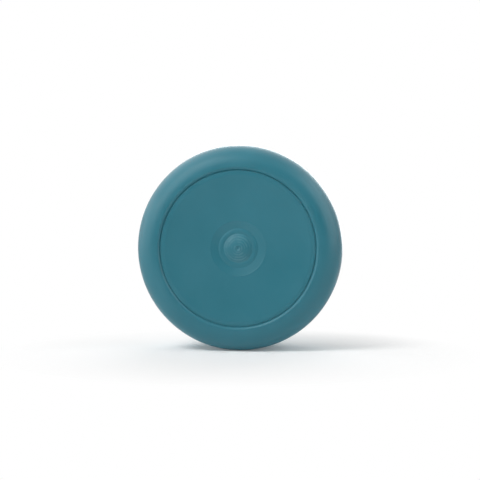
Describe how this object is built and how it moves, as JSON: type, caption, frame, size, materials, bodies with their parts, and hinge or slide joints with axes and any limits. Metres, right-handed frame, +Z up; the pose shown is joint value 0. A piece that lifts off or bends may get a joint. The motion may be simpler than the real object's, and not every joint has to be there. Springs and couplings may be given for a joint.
{
  "type": "collapsible travel cup",
  "caption": "Telescoping plastic travel cup folded into a round puck, with tapered wall rings, a dished base and a press-on lid with a hinged sip flap.",
  "frame": {"origin": "centre of the circle that the base stands on", "axes": "+Z up along the cup's axis, from the base to the mouth; the sip opening lies towards -Y"},
  "size_m": [0.09, 0.09, 0.0389],
  "materials": {
    "shell_plastic": "satin moulded polypropylene, teal",
    "ring_plastic": "satin moulded polypropylene, teal",
    "seal_silicone": "soft silicone, dark teal",
    "pin_steel": "drawn stainless wire"
  },
  "bodies": {
    "base": {"base_shell": "shell_plastic", "bottom_plate": "shell_plastic", "base_tray": "shell_plastic", "base_collar": "shell_plastic", "floor_ring": "ring_plastic"},
    "ring_2": {"ring_2": "ring_plastic"},
    "ring_3": {"ring_3": "ring_plastic"},
    "ring_4": {"ring_4": "ring_plastic"},
    "ring_5": {"ring_5": "ring_plastic"},
    "mouth": {"mouth_ring": "ring_plastic"},
    "lid": {"lid_top": "shell_plastic", "lid_skirt": "shell_plastic", "plug_ring": "shell_plastic", "lid_seal": "seal_silicone", "flap_pin": "pin_steel"},
    "sip_flap": {"sip_flap": "shell_plastic", "sip_plug": "seal_silicone"}
  },
  "joints": [
    {"name": "ring_2_slide", "type": "slide", "parent": "base", "child": "ring_2", "axis": [0, 0, 1], "range_m": [0, 0.017]},
    {"name": "ring_3_slide", "type": "slide", "parent": "ring_2", "child": "ring_3", "axis": [0, 0, 1], "range_m": [0, 0.017]},
    {"name": "ring_4_slide", "type": "slide", "parent": "ring_3", "child": "ring_4", "axis": [0, 0, 1], "range_m": [0, 0.017]},
    {"name": "ring_5_slide", "type": "slide", "parent": "ring_4", "child": "ring_5", "axis": [0, 0, 1], "range_m": [0, 0.017]},
    {"name": "mouth_slide", "type": "slide", "parent": "ring_5", "child": "mouth", "axis": [0, 0, 1], "range_m": [0, 0.017]},
    {"name": "lid_lift", "type": "slide", "parent": "mouth", "child": "lid", "axis": [0, 0, 1], "range_m": [0, 0.03]},
    {"name": "sip_flap_hinge", "type": "hinge", "parent": "lid", "child": "sip_flap", "pos_m": [0, -0.002, 0.03765], "axis": [-1, 0, 0], "range_deg": [0, 170]}
  ]
}
